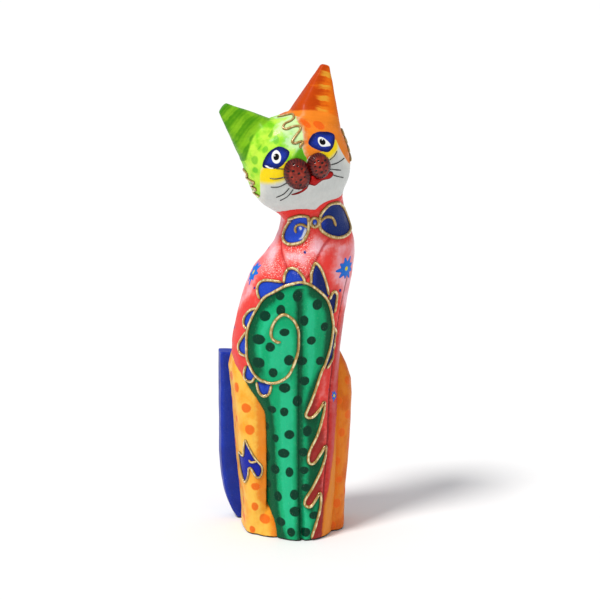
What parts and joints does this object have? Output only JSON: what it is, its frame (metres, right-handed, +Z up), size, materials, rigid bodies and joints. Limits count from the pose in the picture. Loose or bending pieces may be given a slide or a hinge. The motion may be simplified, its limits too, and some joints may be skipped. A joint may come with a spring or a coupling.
{
  "type": "cat figure",
  "caption": "Carved and painted wooden cat, sitting upright with a tilted head, a board tail and flat-sawn haunches; a free-standing ornament.",
  "frame": {"origin": "on the floor, under the middle of the body block", "axes": "+Z up, -Y towards the cat's front, +X towards the cat's left"},
  "size_m": [0.0883, 0.0786, 0.3038],
  "materials": {
    "body_paint": "hand-painted coral and green, satin varnish",
    "head_paint": "hand-painted in halves, satin varnish",
    "green_ear_paint": "hand-painted, satin varnish",
    "orange_ear_paint": "hand-painted, satin varnish",
    "pad_paint": "hand-painted, gloss varnish",
    "haunch_paint": "hand-painted with dots, satin varnish",
    "tail_paint": "hand-painted, satin varnish",
    "dowel_wood": "bare turned wood"
  },
  "bodies": {
    "root": {"torso": "body_paint", "head": "head_paint", "right_ear": "green_ear_paint", "left_ear": "orange_ear_paint", "right_whisker_pad": "pad_paint", "left_whisker_pad": "pad_paint", "right_haunch": "haunch_paint", "left_haunch": "haunch_paint", "tail": "tail_paint", "neck_dowel": "dowel_wood", "right_ear_peg": "dowel_wood", "left_ear_peg": "dowel_wood", "right_haunch_dowel_upper": "dowel_wood", "right_haunch_dowel_lower": "dowel_wood", "left_haunch_dowel_upper": "dowel_wood", "left_haunch_dowel_lower": "dowel_wood", "tail_dowel_upper": "dowel_wood", "tail_dowel_lower": "dowel_wood"}
  },
  "joints": []
}
